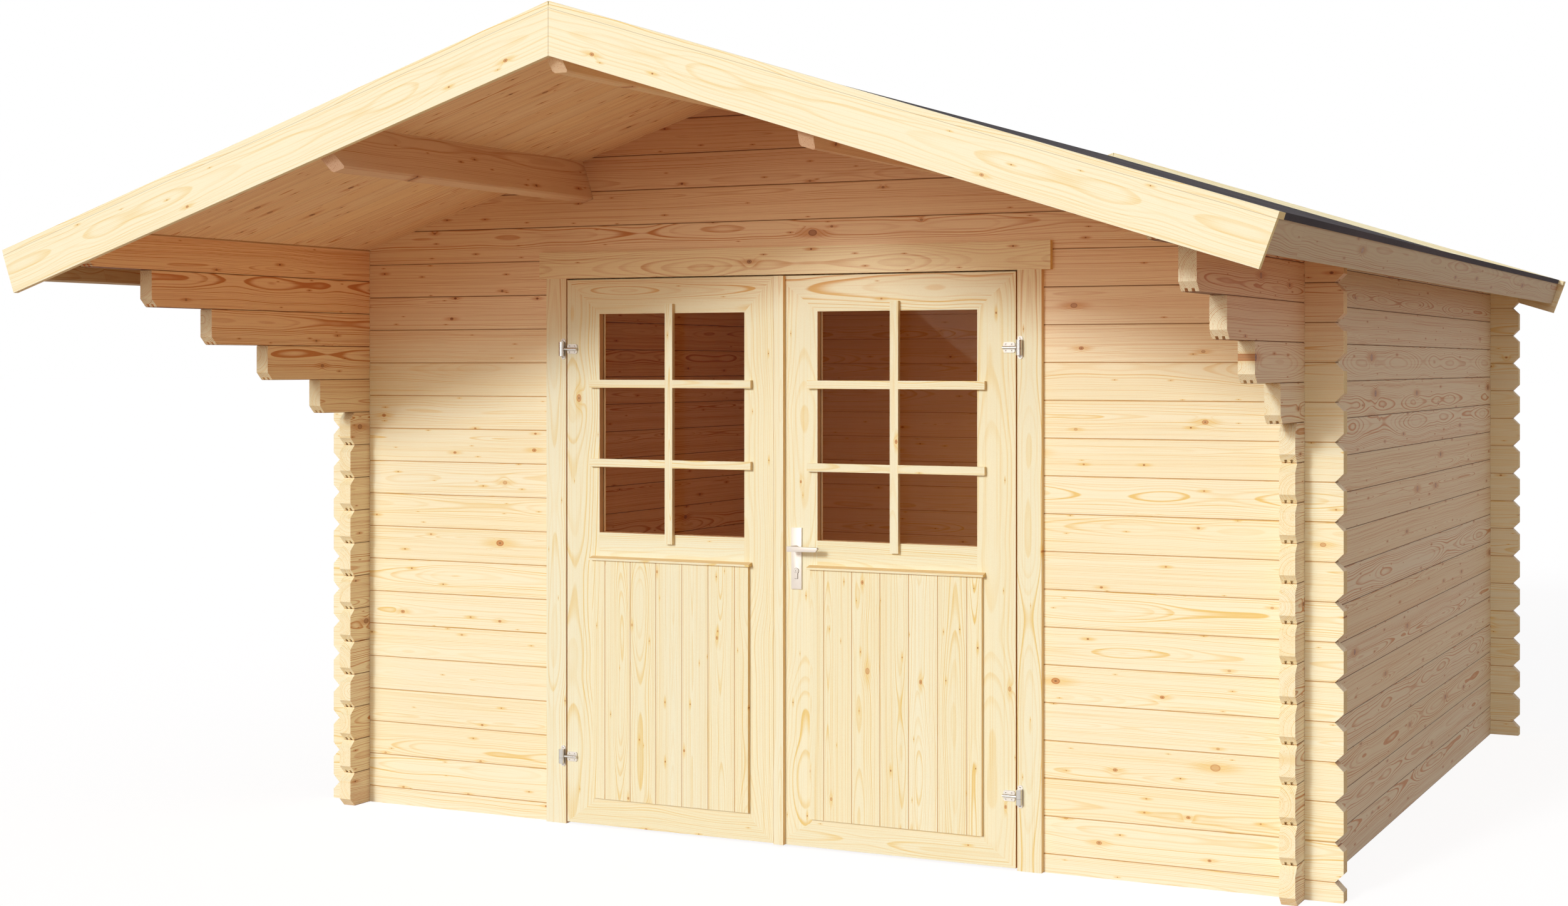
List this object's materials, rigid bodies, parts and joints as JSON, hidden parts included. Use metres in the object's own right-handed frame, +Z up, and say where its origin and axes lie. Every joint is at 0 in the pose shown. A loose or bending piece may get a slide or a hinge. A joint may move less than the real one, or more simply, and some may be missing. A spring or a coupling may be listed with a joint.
{
  "type": "garden log house",
  "caption": "Small garden log house of planed spruce with a deep front canopy on corbelled log ends and a glazed double door.",
  "frame": {"origin": "centre of the plan outline of the whole house, roof included, at ground level", "axes": "+X to the right seen from the front, +Y from the door towards the rear wall, +Z up; the door faces -Y"},
  "size_m": [3.8824, 4.8186, 2.4922],
  "materials": {
    "log_wood": "planed, bare",
    "frame_wood": "planed, bare",
    "board_wood": "planed, bare",
    "trim_wood": "planed, bare",
    "door_wood": "planed, bare",
    "roof_felt": "matt bitumen felt",
    "window_glass": "clear",
    "zinc_steel": "zinc plated",
    "satin_steel": "satin"
  },
  "bodies": {
    "house": {"wall_front_left": "log_wood", "wall_front_right": "log_wood", "gable_front": "log_wood", "wall_rear": "log_wood", "wall_left": "log_wood", "wall_right": "log_wood", "purlin_ridge": "frame_wood", "purlin_left": "frame_wood", "purlin_right": "frame_wood", "deck_left": "board_wood", "deck_right": "board_wood", "felt_left": "roof_felt", "felt_right": "roof_felt", "fascia_left": "board_wood", "fascia_right": "board_wood", "bargeboards_left": "trim_wood", "bargeboards_right": "trim_wood", "caps_left": "trim_wood", "caps_right": "trim_wood", "door_casings": "door_wood", "door_header": "door_wood", "door_jambs": "door_wood", "door_head": "door_wood", "door_sill": "door_wood", "floor_deck": "board_wood", "hinge_frames": "zinc_steel"},
    "left_leaf": {"left_stiles": "door_wood", "left_rails": "door_wood", "left_glass": "window_glass", "left_bars": "door_wood", "left_panel": "door_wood", "left_drip": "door_wood", "left_hinges": "zinc_steel"},
    "right_leaf": {"right_stiles": "door_wood", "right_rails": "door_wood", "right_glass": "window_glass", "right_bars": "door_wood", "right_panel": "door_wood", "right_drip": "door_wood", "right_hinges": "zinc_steel", "cover_strip": "door_wood", "lock_plate": "satin_steel"},
    "lever": {"lever": "satin_steel"}
  },
  "joints": [
    {"name": "left_door", "type": "hinge", "parent": "house", "child": "left_leaf", "pos_m": [-0.81, -1.04635, 0.9], "axis": [0, 0, -1], "range_deg": [0, 165]},
    {"name": "right_door", "type": "hinge", "parent": "house", "child": "right_leaf", "pos_m": [0.81, -1.04635, 0.9], "axis": [0, 0, 1], "range_deg": [0, 165]},
    {"name": "lever_turn", "type": "hinge", "parent": "right_leaf", "child": "lever", "pos_m": [0.059, -1.08675, 0.9515], "axis": [0, 1, 0], "range_deg": [0, 40], "stiffness_Nm_per_rad": 1.5, "springref_deg": -20.05}
  ]
}
